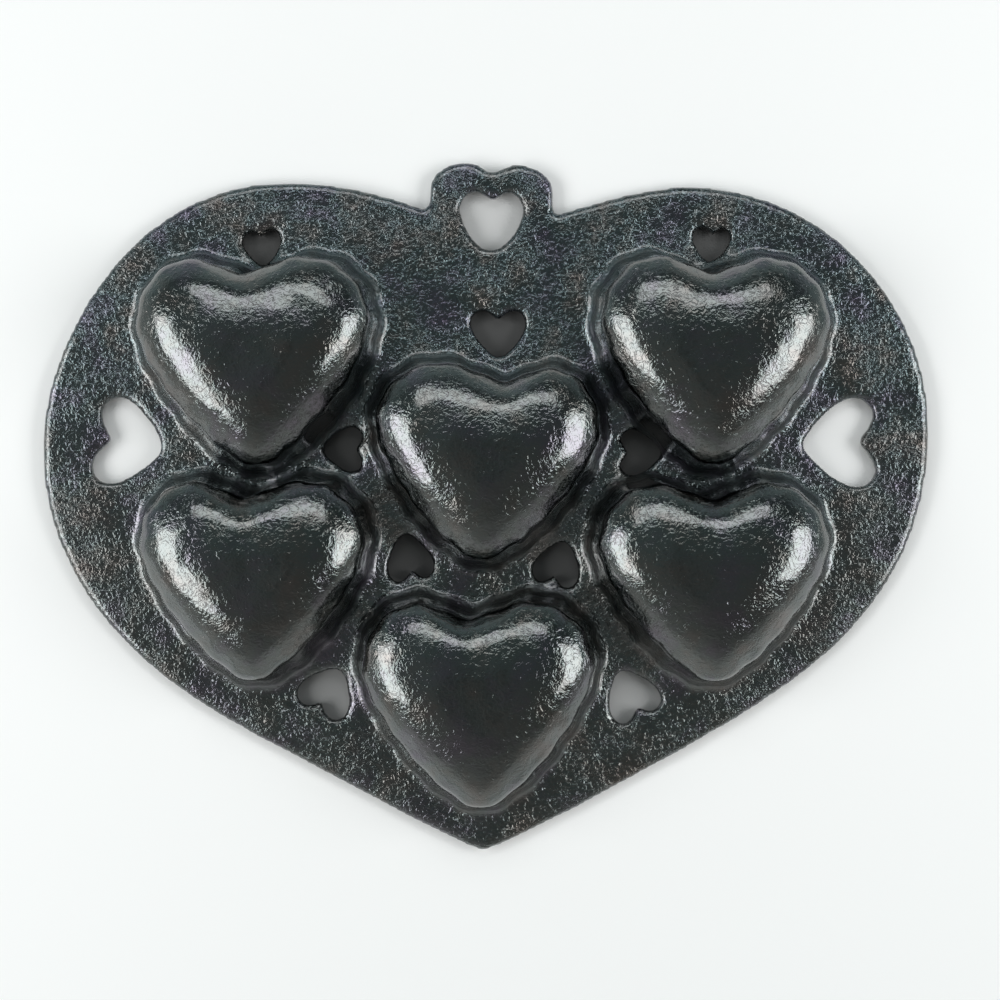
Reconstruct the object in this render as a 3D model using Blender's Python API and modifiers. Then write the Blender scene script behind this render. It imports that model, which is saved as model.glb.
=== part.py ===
"""A heart-shaped cast-iron baking mould, lying on its rim with the undersides of its six cups up.

The mould is one sand casting: a flat heart-shaped plate, six deep heart-shaped cups that stand up from
its back, heart-shaped cut-outs between the cups and a hanging eye at the top edge. The cups are open
below, at the rim face.

Units are metres, +Z is up and +Y points from the tip of the heart to its hanging eye. The rim face,
which is the cooking side, lies at Z = 0. The origin is below the middle of the whole outline.
"""

import math

import bmesh
import bpy
from mathutils import Matrix, Vector
from mathutils.geometry import interpolate_bezier

MM = 0.001

# Plate: each half of its outline runs from the lobe's top over the widest point to the lower side. The
# two halves of the hand-cut pattern differ a little. The pulls are the curves' handles, as shares of the
# steps between those places
RIGHT_FLANK = {
    "lobe": (63.8 * MM, 101.7 * MM),
    "widest": (140.3 * MM, 24.6 * MM),
    "side": (85.1 * MM, -63.0 * MM),
    "side_slope": math.radians(34.3),
    "pulls": (0.25, 0.56, 0.53, 0.61, 0.34),
}
LEFT_FLANK = {
    "lobe": (63.3 * MM, 102.4 * MM),
    "widest": (140.3 * MM, 18.3 * MM),
    "side": (67.3 * MM, -75.3 * MM),
    "side_slope": math.radians(26.9),
    "pulls": (0.38, 0.66, 0.37, 0.58, 0.37),
}
PLATE_TIP_Y = -108.7 * MM
PLATE_TIP_ROUND = 5.0 * MM
SIDE_PULL = 0.33
PLATE_THICKNESS = 4.0 * MM
PLATE_EDGE_ROUND = 1.4 * MM

# Hanging eye at the top edge
EYE_SHIFT = 1.2 * MM
EYE_LEAN = math.radians(-2.0)
EYE_WIDTH = 39.4 * MM
EYE_TOP_Y = 108.7 * MM
EYE_RISE = 15.7 * MM
EYE_NOTCH = 2.5 * MM
EYE_HOLE_SHIFT = 1.4 * MM
EYE_HOLE_WIDTH = 19.4 * MM
EYE_HOLE_LENGTH = 17.8 * MM
EYE_HOLE_NOTCH = 2.4 * MM
EYE_HOLE_Y = 90.2 * MM

# Cups: centre, then width and length where the wall meets its fillet, the turn of the heart in degrees,
# and how far the notch lies beside the middle at the foot and on the dome. The hand-cut pattern makes
# each a little different
CUPS = {
    "upper_left": (-71.3 * MM, 44.2 * MM, 76.0 * MM, 68.4 * MM, 1.5, 0.0 * MM, -3.2 * MM),
    "upper_right": (70.5 * MM, 45.2 * MM, 74.2 * MM, 68.4 * MM, -0.5, -4.0 * MM, -1.2 * MM),
    "centre": (0.0 * MM, 13.5 * MM, 73.4 * MM, 64.8 * MM, -2.5, 4.9 * MM, 4.9 * MM),
    "lower_left": (-71.4 * MM, -23.3 * MM, 73.2 * MM, 66.0 * MM, 0.5, -0.6 * MM, -2.8 * MM),
    "lower_right": (70.4 * MM, -22.9 * MM, 75.0 * MM, 65.6 * MM, 1.0, -2.6 * MM, 0.3 * MM),
    "bottom": (-1.5 * MM, -61.0 * MM, 75.6 * MM, 68.0 * MM, 1.2, -1.4 * MM, -3.4 * MM),
}

# The section that all cups share: fillet, wall, a rolled corner, then a dome whose shoulder is an arc of
# one radius and whose crown is a flatter arc that comes level at DOME_MIDDLE from the foot's outline
CUP_NOTCH = 5.3 * MM
CROWN_NOTCH = 1.0 * MM
NOTCH_FADE = 16.0 * MM
TIP_FADE = 3.0 * MM
CUP_HEIGHT = 25.6 * MM
CUP_WALL = 3.6 * MM
CUP_FILLET = 2.8 * MM
MOUTH_ROUND = 1.2 * MM
CUP_DRAFT = 2.0 * MM
WALL_LEAN = math.radians(8)
CORNER_ROUND = 2.0 * MM
DOME_TILT = math.radians(45)
SHOULDER_RADIUS = 26.0 * MM
CROWN_TILT = math.radians(15)
DOME_MIDDLE = 31.5 * MM
SCALLOPS = 20
SCALLOP_DEPTH = 1.4 * MM
SCALLOP_FADE = 4.0 * MM

# Heart-shaped cut-outs: centre, width, length and the way that the tip points
CUTOUTS = {
    "left": (-112.5 * MM, 19.5 * MM, 27.1 * MM, 20.3 * MM, -10.5),
    "right": (111.5 * MM, 20.7 * MM, 27.8 * MM, 22.0 * MM, 183.0),
    "top_left": (-70.9 * MM, 81.4 * MM, 11.5 * MM, 10.7 * MM, -85.0),
    "top_right": (70.8 * MM, 83.2 * MM, 11.6 * MM, 10.4 * MM, -95.0),
    "top_middle": (3.8 * MM, 54.6 * MM, 16.7 * MM, 14.3 * MM, -90.0),
    "low_left": (-49.3 * MM, -58.2 * MM, 16.6 * MM, 14.7 * MM, 61.0),
    "low_right": (46.1 * MM, -58.8 * MM, 16.3 * MM, 15.6 * MM, 116.0),
    "inner_left": (-45.1 * MM, 17.9 * MM, 13.5 * MM, 11.9 * MM, 180.0),
    "inner_right": (49.1 * MM, 17.4 * MM, 13.9 * MM, 12.3 * MM, 0.0),
    "inner_low_left": (-24.0 * MM, -15.9 * MM, 14.0 * MM, 14.4 * MM, 101.0),
    "inner_low_right": (23.2 * MM, -17.5 * MM, 14.0 * MM, 14.0 * MM, 74.0),
}
CUTOUT_NOTCH_SHARE = 0.22

# Shares of a heart's width or length that set where its curves turn
CUP_SHAPE = {"lobe": 0.24, "shoulder": 0.31, "tip": 0.2, "notch": 0.32}
DOME_TIP = 0.09
CUTOUT_SHAPE = {"lobe": 0.31, "shoulder": 0.27, "tip": 0.1, "notch": 0.2}
EYE_HOLE_SHAPE = {"lobe": 0.27, "shoulder": 0.3, "tip": 0.24, "notch": 0.3}

POINTS_PER_SCALLOP = 3
CURVE_STEPS = 24
MERGE_DISTANCE = 0.01 * MM
CUTTER_REACH = 2.0 * MM
FOOT_SINK = 0.15 * MM


def heart_knots(width, length, notch, shape, shift=0.0):
    """Knots of a heart that points to -Y, centred on its box: each is (point, handle in, handle out).

    The notch lies at shift beside the middle, and each lobe follows it by half.
    """
    top = length / 2
    right = heart_half(width, length, shape, shift)
    left = mirrored_knots(heart_half(width, length, shape, -shift))
    into_right = Vector((shape["notch"] * (right[0][0].x - shift), 0.1 * notch))
    into_left = Vector((shape["notch"] * (left[-1][0].x - shift), 0.1 * notch))
    tip = (Vector((0, -top)), Vector((shape["tip"] * width, 0)), Vector((-shape["tip"] * width, 0)))
    middle = (Vector((shift, top - notch)), into_left, into_right)
    return placed([middle, *right, tip, *left])


def heart_half(width, length, shape, shift):
    """The knots of a heart's right lobe and right shoulder, with its notch at shift."""
    side = width / 2
    top = length / 2
    lobe = shape["lobe"] * width + shift / 2
    shoulder_y = top - shape["shoulder"] * length
    return [
        (Vector((lobe, top)), Vector((-0.42 * (lobe - shift), 0)), Vector((0.55 * (side - lobe), 0))),
        (
            Vector((side, shoulder_y)),
            Vector((0, 0.55 * (top - shoulder_y))),
            Vector((0, -0.33 * (shoulder_y + top))),
        ),
    ]


def mirrored(vector):
    """The vector on the other side of the Y axis."""
    return Vector((-vector.x, vector.y))


def mirrored_knots(knots):
    """The knots on the other side of the Y axis, in reverse, so that an outline runs on through them."""
    return [(mirrored(p), mirrored(b), mirrored(a)) for p, a, b in reversed(knots)]


def plate_flank(flank):
    """Knots of one half of the plate, as for its right side: each is (point, handle in, handle out)."""
    lobe = Vector(flank["lobe"])
    widest = Vector(flank["widest"])
    side = Vector(flank["side"])
    slope = Vector((math.cos(flank["side_slope"]), math.sin(flank["side_slope"])))
    lobe_in, lobe_out, widest_in, widest_out, side_in = flank["pulls"]
    side_run = widest.x - side.x
    return [
        (lobe, Vector((-lobe_in * lobe.x, 0)), Vector((lobe_out * (widest.x - lobe.x), 0))),
        (
            widest,
            Vector((0, widest_in * (lobe.y - widest.y))),
            Vector((0, -widest_out * (widest.y - side.y))),
        ),
        (side, side_in * side_run * slope, -SIDE_PULL * side_run * slope),
    ]


def eye_flank():
    """Knots of one half of the hanging eye, from its lobe's top to its root, centred on the eye."""
    side = EYE_WIDTH / 2
    lobe = 0.21 * EYE_WIDTH
    return [
        (Vector((lobe, EYE_TOP_Y)), Vector((-0.5 * lobe, 0)), Vector((0.55 * (side - lobe), 0))),
        (
            Vector((side, EYE_TOP_Y - 0.58 * EYE_RISE)),
            Vector((0, 0.34 * EYE_RISE)),
            Vector((0, -0.2 * EYE_RISE)),
        ),
        (
            Vector((side, EYE_TOP_Y - EYE_RISE)),
            Vector((0, 0.1 * EYE_RISE)),
            Vector((0.08 * side, 0.02 * side)),
        ),
    ]


def plate_knots():
    """Bezier knots of the plate's outline, which runs round the hanging eye and both lobes."""
    notch_handle = Vector((0.08 * EYE_WIDTH, 0.1 * EYE_NOTCH))
    notch = (Vector((0, EYE_TOP_Y - EYE_NOTCH)), mirrored(notch_handle), notch_handle)
    right_eye = eye_flank()
    eye = placed([*mirrored_knots(right_eye), notch, *right_eye])
    eye = turned(eye, (EYE_SHIFT, 0), EYE_LEAN, Vector((0, EYE_TOP_Y - EYE_RISE)))
    tip = (Vector((0, PLATE_TIP_Y)), Vector((PLATE_TIP_ROUND, 0)), Vector((-PLATE_TIP_ROUND, 0)))
    return [*eye, *placed([*plate_flank(RIGHT_FLANK), tip, *mirrored_knots(plate_flank(LEFT_FLANK))])]


def placed(knots):
    """The knots with their handles as places and not as steps from their points."""
    return [(p, p + a, p + b) for p, a, b in knots]


def turned(knots, shift, angle, pivot=Vector((0, 0))):
    """The placed knots turned by angle about pivot, then moved by shift."""
    turn = Matrix.Rotation(angle, 2)
    return [tuple(turn @ (p - pivot) + pivot + Vector(shift) for p in knot) for knot in knots]


def outline_solid(name, knots, bottom, top, steps):
    """A flat outline as a mesh: a filled 2D curve, raised from bottom to top."""
    curve = bpy.data.curves.new(name, "CURVE")
    curve.dimensions = "2D"
    curve.fill_mode = "BOTH"
    curve.extrude = (top - bottom) / 2
    spline = curve.splines.new("BEZIER")
    spline.bezier_points.add(len(knots) - 1)
    spline.use_cyclic_u = True
    spline.resolution_u = steps
    for point, (place, handle_in, handle_out) in zip(spline.bezier_points, knots):
        point.handle_left_type = "FREE"
        point.handle_right_type = "FREE"
        point.co = (place.x, place.y, 0)
        point.handle_left = (handle_in.x, handle_in.y, 0)
        point.handle_right = (handle_out.x, handle_out.y, 0)
    guide = bpy.data.objects.new(name + "_guide", curve)
    bpy.context.scene.collection.objects.link(guide)
    guide.location.z = (top + bottom) / 2
    bpy.context.view_layer.update()
    mesh = bpy.data.meshes.new_from_object(guide.evaluated_get(bpy.context.evaluated_depsgraph_get()))
    mesh.transform(guide.matrix_world)
    bpy.data.objects.remove(guide)
    mesh.name = name
    shape = bmesh.new()
    shape.from_mesh(mesh)
    bmesh.ops.remove_doubles(shape, verts=shape.verts, dist=MERGE_DISTANCE)
    bmesh.ops.dissolve_limit(shape, angle_limit=math.radians(0.1), verts=[], edges=shape.edges)
    bmesh.ops.recalc_face_normals(shape, faces=shape.faces)
    shape.to_mesh(mesh)
    shape.free()
    return bpy.data.objects.new(name, mesh)


def mark_rims(mesh):
    """Marks the edges round the top and the bottom of a flat solid for a Bevel by weight."""
    weights = mesh.attributes.new("bevel_weight_edge", "FLOAT", "EDGE")
    for edge, weight in zip(mesh.edges, weights.data):
        start, end = (mesh.vertices[i].co.z for i in edge.vertices)
        weight.value = 1.0 if abs(start - end) < MERGE_DISTANCE else 0.0


def heart_points(knots, count):
    """count points round a heart, from its notch to its tip and back, with equal steps on each side."""
    tip = len(knots) // 2
    right = even_points(knots[: tip + 1], count // 2)
    left = even_points([*knots[tip:], knots[0]], count // 2)
    return right + left


def even_points(knots, count):
    """count points at equal steps along the knots' curve, from the first knot and short of the last."""
    fine = [knots[0][0]]
    for start, end in zip(knots, knots[1:]):
        fine += interpolate_bezier(start[0], start[2], end[1], end[0], CURVE_STEPS)[1:]
    reach = [0.0]
    for a, b in zip(fine, fine[1:]):
        reach.append(reach[-1] + (b - a).length)
    points = []
    place = 0
    for i in range(count):
        target = reach[-1] * i / count
        while reach[place + 1] < target:
            place += 1
        share = (target - reach[place]) / (reach[place + 1] - reach[place])
        points.append(fine[place].lerp(fine[place + 1], share))
    return points


def crown_radius():
    """Radius of the flatter arc that closes a cup's dome."""
    corner_run = CORNER_ROUND * (math.cos(WALL_LEAN) - math.sin(DOME_TILT))
    shoulder_run = SHOULDER_RADIUS * (math.sin(DOME_TILT) - math.sin(CROWN_TILT))
    return (DOME_MIDDLE - CUP_DRAFT - corner_run - shoulder_run) / math.sin(CROWN_TILT)


def dome_step(tilt, depth=0.0):
    """(inset, height) where the dome's arcs lean by tilt from level, that depth under its skin."""
    crown = crown_radius()
    inset = DOME_MIDDLE - (crown - depth) * math.sin(tilt)
    height = CUP_HEIGHT - crown + (crown - depth) * math.cos(tilt)
    if tilt > CROWN_TILT:
        inset += (crown - SHOULDER_RADIUS) * (math.sin(tilt) - math.sin(CROWN_TILT))
        height += (crown - SHOULDER_RADIUS) * (math.cos(CROWN_TILT) - math.cos(tilt))
    return (inset, height)


def wall_top():
    """Height above the plate's back where a cup's wall turns into its corner."""
    return dome_step(DOME_TILT)[1] - CORNER_ROUND * (math.cos(DOME_TILT) - math.sin(WALL_LEAN))


def outer_section():
    """The outside of a cup's wall as (inset, height) steps, from the fillet's foot to the crown.

    The inset is measured inwards from the outline where wall and fillet meet, the height from the
    plate's back.
    """
    steps = []
    for turn in (0, 50, 90):
        angle = math.radians(turn)
        steps.append((CUP_FILLET * (math.sin(angle) - 1), CUP_FILLET * (1 - math.cos(angle)) - FOOT_SINK))
    steps.append((CUP_DRAFT, wall_top()))
    for share in (1, 0.67, 0.33, 0):
        steps.append(dome_step(CROWN_TILT + share * (DOME_TILT - CROWN_TILT)))
    steps.append(dome_step(CROWN_TILT / 2))
    return steps


def cavity_section():
    """The inside of a cup's wall, one wall thickness within the outside, from the rim to the crown."""
    mouth = CUP_WALL - MOUTH_ROUND
    steps = [
        (mouth, -PLATE_THICKNESS - CUTTER_REACH),
        (mouth, -PLATE_THICKNESS),
        (CUP_WALL, -PLATE_THICKNESS + MOUTH_ROUND),
    ]
    for share in (0.95, 0.45, 0):
        steps.append(dome_step(CROWN_TILT + share * (DOME_TILT - CROWN_TILT), CUP_WALL))
    steps.append(dome_step(CROWN_TILT / 2, CUP_WALL))
    return steps


def cup_ring(size, notch_shifts, inset, height):
    """A closed ring of points round a cup of that size, scalloped up to the dome and plain above.

    Where there are no scallops, the ring has half the points.
    """
    up_wall = clipped(height / wall_top())
    up_dome = clipped((height - wall_top()) / SCALLOP_FADE)
    count = SCALLOPS * POINTS_PER_SCALLOP
    if up_dome == 1:
        count = count // 2
    notch = between(CUP_NOTCH, CROWN_NOTCH, inset / NOTCH_FADE)
    tip = between(CUP_SHAPE["tip"], DOME_TIP, inset / TIP_FADE)
    shift = between(*notch_shifts, up_wall)
    shift *= 1 - clipped(inset / DOME_MIDDLE)
    shape = {**CUP_SHAPE, "tip": tip}
    knots = heart_knots(size[0] - 2 * inset, size[1] - 2 * inset, notch, shape, shift)
    points = heart_points(knots, count)
    depth = SCALLOP_DEPTH * (1 - 0.45 * up_wall) * (1 - up_dome)
    ring = []
    for i, point in enumerate(points):
        along = points[(i + 1) % count] - points[i - 1]
        outward = Vector((-along.y, along.x)).normalized()
        wave = abs(math.sin(math.pi * SCALLOPS * i / count)) - 0.5
        place = point + depth * wave * outward
        ring.append(Vector((place.x, place.y, PLATE_THICKNESS + height)))
    return ring


def clipped(share):
    """The share, held from 0 to 1."""
    return min(max(share, 0.0), 1.0)


def between(start, end, share):
    """The value that lies that share of the way from start to end."""
    return start + clipped(share) * (end - start)


def lofted_mesh(name, rings, peak):
    """A closed mesh through the rings, capped flat at the first and drawn to a peak past the last.

    A ring may have half as many points as the one below it.
    """
    shape = bmesh.new()
    loops = [[shape.verts.new(p) for p in ring] for ring in rings]
    shape.faces.new(loops[0])
    for low, high in zip(loops, loops[1:]):
        step = len(low) // len(high)
        for i in range(len(high)):
            j = (i + 1) % len(high)
            corners = [low[(step * i + k) % len(low)] for k in range(step + 1)]
            if step == 1:
                shape.faces.new((corners[0], corners[1], high[j], high[i]))
            else:
                shape.faces.new((corners[0], corners[1], high[i]))
                shape.faces.new((corners[1], high[j], high[i]))
                shape.faces.new((corners[1], corners[2], high[j]))
    top = shape.verts.new(peak)
    last = loops[-1]
    for i in range(len(last)):
        shape.faces.new((last[i], last[(i + 1) % len(last)], top))
    bmesh.ops.recalc_face_normals(shape, faces=shape.faces)
    mesh = bpy.data.meshes.new(name)
    shape.to_mesh(mesh)
    shape.free()
    return mesh


def cup_body_mesh(size, notch_shifts):
    """The solid outside of a cup of that width and length, with its foot sunk into the plate."""
    steps = outer_section()
    foot = (steps[0][0], -PLATE_THICKNESS / 2)
    rings = [cup_ring(size, notch_shifts, inset, height) for inset, height in (foot, *steps)]
    return lofted_mesh("cup_body", rings, Vector((0, 0, PLATE_THICKNESS + CUP_HEIGHT)))


def cavity_mesh(size, notch_shifts):
    """The hollow of a cup of that width and length, open through the rim face."""
    rings = [cup_ring(size, notch_shifts, inset, height) for inset, height in cavity_section()]
    return lofted_mesh("cup_cavity", rings, Vector((0, 0, PLATE_THICKNESS + CUP_HEIGHT - CUP_WALL)))


def cast_iron():
    """Seasoned cast iron: near black, a little glossy."""
    material = bpy.data.materials.new("seasoned_cast_iron")
    material.use_nodes = True
    shader = material.node_tree.nodes["Principled BSDF"]
    shader.inputs["Base Color"].default_value = (0.016, 0.018, 0.020, 1)
    shader.inputs["Metallic"].default_value = 0.35
    shader.inputs["Roughness"].default_value = 0.38
    return material


def as_guide(thing, collection):
    """Keeps a shape that only cuts or joins out of sight."""
    thing.hide_render = True
    thing.display_type = "WIRE"
    collection.objects.link(thing)


def boolean(thing, operation, collection):
    """Joins or cuts the thing with every shape in a collection."""
    modifier = thing.modifiers.new(operation.lower(), "BOOLEAN")
    modifier.operation = operation
    modifier.operand_type = "COLLECTION"
    modifier.collection = collection
    modifier.solver = "EXACT"


def main():
    for thing in list(bpy.data.objects):
        bpy.data.objects.remove(thing)
    groups = {}
    for name in ("heart_baking_mould", "cup_bodies", "hollows"):
        groups[name] = bpy.data.collections.new(name)
        bpy.context.scene.collection.children.link(groups[name])

    for name, (x, y, width, length, turn, *notch_shifts) in CUPS.items():
        size = (width, length)
        body = cup_body_mesh(size, notch_shifts)
        cavity = cavity_mesh(size, notch_shifts)
        for mesh, group in ((body, "cup_bodies"), (cavity, "hollows")):
            shape = bpy.data.objects.new(group + "_" + name, mesh)
            shape.location = (x, y, 0)
            shape.rotation_euler.z = math.radians(turn)
            as_guide(shape, groups[group])

    low = -CUTTER_REACH
    high = PLATE_THICKNESS + CUP_FILLET + CUTTER_REACH
    for name, (x, y, width, length, pointing) in CUTOUTS.items():
        knots = heart_knots(width, length, CUTOUT_NOTCH_SHARE * length, CUTOUT_SHAPE)
        knots = turned(knots, (x, y), math.radians(pointing + 90))
        as_guide(outline_solid("cutout_" + name, knots, low, high, 5), groups["hollows"])
    knots = heart_knots(EYE_HOLE_WIDTH, EYE_HOLE_LENGTH, EYE_HOLE_NOTCH, EYE_HOLE_SHAPE)
    knots = turned(knots, (EYE_HOLE_SHIFT, EYE_HOLE_Y), EYE_LEAN)
    as_guide(outline_solid("eye_hole", knots, low, high, 6), groups["hollows"])

    casting = outline_solid("mould_casting", plate_knots(), 0, PLATE_THICKNESS, 12)
    casting.data.materials.append(cast_iron())
    groups["heart_baking_mould"].objects.link(casting)
    mark_rims(casting.data)
    edge = casting.modifiers.new("edge_round", "BEVEL")
    edge.width = PLATE_EDGE_ROUND
    edge.segments = 2
    edge.limit_method = "WEIGHT"
    edge.use_clamp_overlap = False
    boolean(casting, "UNION", groups["cup_bodies"])
    boolean(casting, "DIFFERENCE", groups["hollows"])


main()
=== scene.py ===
# %% [markdown]
# A heart-shaped baking mould of seasoned cast iron, lying with the undersides of its cups up.
#
# The real mould is one sand casting: iron was poured once round a plate, six cups and a hanging
# eye, and nothing is joined on later. So it is modelled here as one piece, and it stands for the
# one CAD node. The CAD part from model.glb is loaded first, and this piece takes its place. The
# frame comes first. It holds the CAD part, whose place and size this piece has to keep.

# %% Load the imported part
import math

import bpy
from mathutils import Matrix, Vector


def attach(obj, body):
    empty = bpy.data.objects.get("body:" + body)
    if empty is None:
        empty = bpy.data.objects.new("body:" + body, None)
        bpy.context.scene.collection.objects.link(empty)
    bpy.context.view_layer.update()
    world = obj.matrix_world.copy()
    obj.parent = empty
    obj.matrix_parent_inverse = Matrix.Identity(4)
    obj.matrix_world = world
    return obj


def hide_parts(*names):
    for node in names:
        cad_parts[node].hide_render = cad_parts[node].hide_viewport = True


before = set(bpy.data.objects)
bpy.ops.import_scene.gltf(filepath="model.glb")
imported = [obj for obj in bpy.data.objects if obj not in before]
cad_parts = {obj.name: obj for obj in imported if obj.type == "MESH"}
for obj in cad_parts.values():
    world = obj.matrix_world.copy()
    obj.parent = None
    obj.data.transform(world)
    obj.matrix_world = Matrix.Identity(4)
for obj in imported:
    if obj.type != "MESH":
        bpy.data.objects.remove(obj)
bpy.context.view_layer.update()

MM = 0.001

# %% [markdown]
# The camera looks straight down, as it does in the photograph, where the plate's near and far
# edges are equally large. It is only about 0.6 m away: in the photograph the cups' domes lie
# 2 mm further out than their feet, on both sides. Its lens follows from the width that the
# photograph takes in at the plate.

# %% Camera
CAMERA_HEIGHT = 0.6
CAMERA_SHIFT = (4.6 * MM, 2.2 * MM)
CAMERA_TURN = math.radians(0.3)
VIEW_WIDTH = 315 * MM
PLATE_THICKNESS = 4.0 * MM
SENSOR_WIDTH = 36.0

bpy.ops.object.select_all(action="DESELECT")
bpy.ops.object.camera_add(location=(*CAMERA_SHIFT, CAMERA_HEIGHT), rotation=(0, 0, CAMERA_TURN))
camera = bpy.context.object
camera.name = "camera"
camera.data.sensor_width = SENSOR_WIDTH
camera.data.lens = SENSOR_WIDTH * (CAMERA_HEIGHT - PLATE_THICKNESS) / VIEW_WIDTH
bpy.context.scene.camera = camera
bpy.context.scene.view_settings.view_transform = "Standard"
print("Lens in mm:", round(camera.data.lens, 1))

# %% [markdown]
# Black gloss shows little but reflections, so the lights make most of the picture. The
# photograph has a bright box light to the left and one to the right, whose reflections stand as
# strips on each cup's shoulders, and a weaker one above the far edge. All else overhead is dim,
# and the paper underneath is white. Area lamps give the same soft-edged strips.

# %% Box lights
BOX_DISTANCE = 1.0
# Each: bearing from +X and tilt from straight up in degrees, size across and along, brightness.
BOXES = {
    "left_box": (187, 53, 0.44, 0.85, 5.4),
    "right_box": (0, 54, 0.46, 0.7, 5.4),
    "far_box": (92, 42, 0.3, 0.9, 2.7),
}


def box_light(name, bearing, tilt, across, along, brightness):
    """A rectangular lamp that faces the mould."""
    bearing = math.radians(bearing)
    tilt = math.radians(tilt)
    way = Vector((
        math.sin(tilt) * math.cos(bearing),
        math.sin(tilt) * math.sin(bearing),
        math.cos(tilt),
    ))
    bpy.ops.object.select_all(action="DESELECT")
    bpy.ops.object.light_add(type="AREA", location=way * BOX_DISTANCE)
    lamp = bpy.context.object
    lamp.name = name
    lamp.data.shape = "RECTANGLE"
    lamp.data.size = along
    lamp.data.size_y = across
    lamp.data.energy = brightness * math.pi * across * along
    facing = Matrix.Rotation(bearing - math.pi / 2, 4, "Z") @ Matrix.Rotation(-tilt, 4, "X")
    lamp.rotation_euler = facing.to_euler()
    print(name, "stands at", [round(v, 2) for v in lamp.location])


for name, numbers in BOXES.items():
    box_light(name, *numbers)

# %% [markdown]
# The paper, the room and the iron are each a network of shader nodes. A few helpers keep them
# short: one adds a node, one does arithmetic on sockets, one turns a range of values into another,
# one tells how far out a place lies in an oval, one is a colour ramp, and one mixes two colours.
# Each takes a place in the node editor, so that the networks can be read there too.

# %% Node helpers
def add_node(tree, kind, place, **values):
    """Adds a shader node at a place in the editor and sets its plain inputs."""
    node = tree.nodes.new(kind)
    node.location = place
    for name, value in values.items():
        node.inputs[name.replace("_", " ")].default_value = value
    return node


def maths(tree, operation, place, *operands):
    """A Math node on sockets or numbers."""
    node = add_node(tree, "ShaderNodeMath", place)
    node.operation = operation
    for socket, operand in zip(node.inputs, operands):
        if isinstance(operand, (int, float)):
            socket.default_value = operand
        else:
            tree.links.new(operand, socket)
    return node.outputs["Value"]


def fade(tree, value, place, start, end, low=0.0, high=1.0):
    """Goes evenly from low to high while a value goes from start to end."""
    node = add_node(
        tree, "ShaderNodeMapRange", place, From_Min=start, From_Max=end, To_Min=low, To_Max=high
    )
    tree.links.new(value, node.inputs["Value"])
    return node.outputs["Result"]


def oval_distance(tree, vector, place, half_width, half_length, x=0.0, y=0.0):
    """How far out from (x, y) a vector points, where 1 is the edge of an oval."""
    spread = add_node(
        tree, "ShaderNodeMapping", place,
        Scale=(1 / half_width, 1 / half_length, 0),
        Location=(-x / half_width, -y / half_length, 0),
    )
    tree.links.new(vector, spread.inputs["Vector"])
    length = add_node(tree, "ShaderNodeVectorMath", (place[0] + 200, place[1]))
    length.operation = "LENGTH"
    tree.links.new(spread.outputs["Vector"], length.inputs[0])
    return length.outputs["Value"]


def ramp(tree, value, place, stops):
    """A colour ramp on a value, with (position, grey) or (position, colour) stops."""
    node = add_node(tree, "ShaderNodeValToRGB", place)
    tree.links.new(value, node.inputs["Fac"])
    while len(node.color_ramp.elements) < len(stops):
        node.color_ramp.elements.new(0.5)
    for element, (position, colour) in zip(node.color_ramp.elements, stops):
        element.position = position
        element.color = (*colour, 1) if isinstance(colour, tuple) else (colour, colour, colour, 1)
    return node.outputs["Color"]


def mix_colours(tree, share, place, first, second):
    """Mixes two colours, each a socket or a plain one, by the share of the second."""
    node = add_node(tree, "ShaderNodeMix", place)
    node.data_type = "RGBA"
    tree.links.new(share, node.inputs["Factor"])
    ends = [socket for socket in node.inputs if socket.type == "RGBA"]
    for socket, colour in zip(ends, (first, second)):
        if isinstance(colour, tuple):
            socket.default_value = (*colour, 1)
        else:
            tree.links.new(colour, socket)
    return next(socket for socket in node.outputs if socket.type == "RGBA")


# %% [markdown]
# The floor is a sheet of white paper, a millimetre below the mould. In the photograph the small
# hearts are dark inside, while the two wide ones at the sides are pale, so less light gets under
# the middle of the real casting. Why isn't seen, so the shade is painted: the paper's own colour is
# darker in ovals under the small hearts and the eye, where nothing but the cut-outs shows it.

# %% Floor
FLOOR_SIZE = 12.0
PAPER_GAP = 1.0 * MM
PAPER_COLOUR = (0.92, 0.93, 0.925)
PAPER_ROUGHNESS = 0.9
SHADE_EDGE = 0.75
# Each: middle, half width and half length of an oval, and the share of the colour left in it.
SHADES = {
    "middle": (0 * MM, 20 * MM, 92 * MM, 62 * MM, 0.085),
    "top_left": (-71 * MM, 81 * MM, 19 * MM, 19 * MM, 0.1),
    "top_right": (71 * MM, 83 * MM, 19 * MM, 19 * MM, 0.12),
    "low_left": (-49 * MM, -58 * MM, 20 * MM, 20 * MM, 0.35),
    "low_right": (46 * MM, -59 * MM, 20 * MM, 20 * MM, 0.53),
    "eye": (1 * MM, 90 * MM, 18 * MM, 16 * MM, 0.6),
}

bpy.ops.object.select_all(action="DESELECT")
bpy.ops.mesh.primitive_plane_add(size=FLOOR_SIZE, location=(0, 0, -PAPER_GAP))
floor = bpy.context.object
floor.name = "paper_floor"

paper = bpy.data.materials.new("white_paper")
paper.use_nodes = True
floor.data.materials.append(paper)
sheet = paper.node_tree
matt = sheet.nodes["Principled BSDF"]
matt.inputs["Roughness"].default_value = PAPER_ROUGHNESS
on_sheet = add_node(sheet, "ShaderNodeTexCoord", (-1500, 0)).outputs["Object"]

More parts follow.
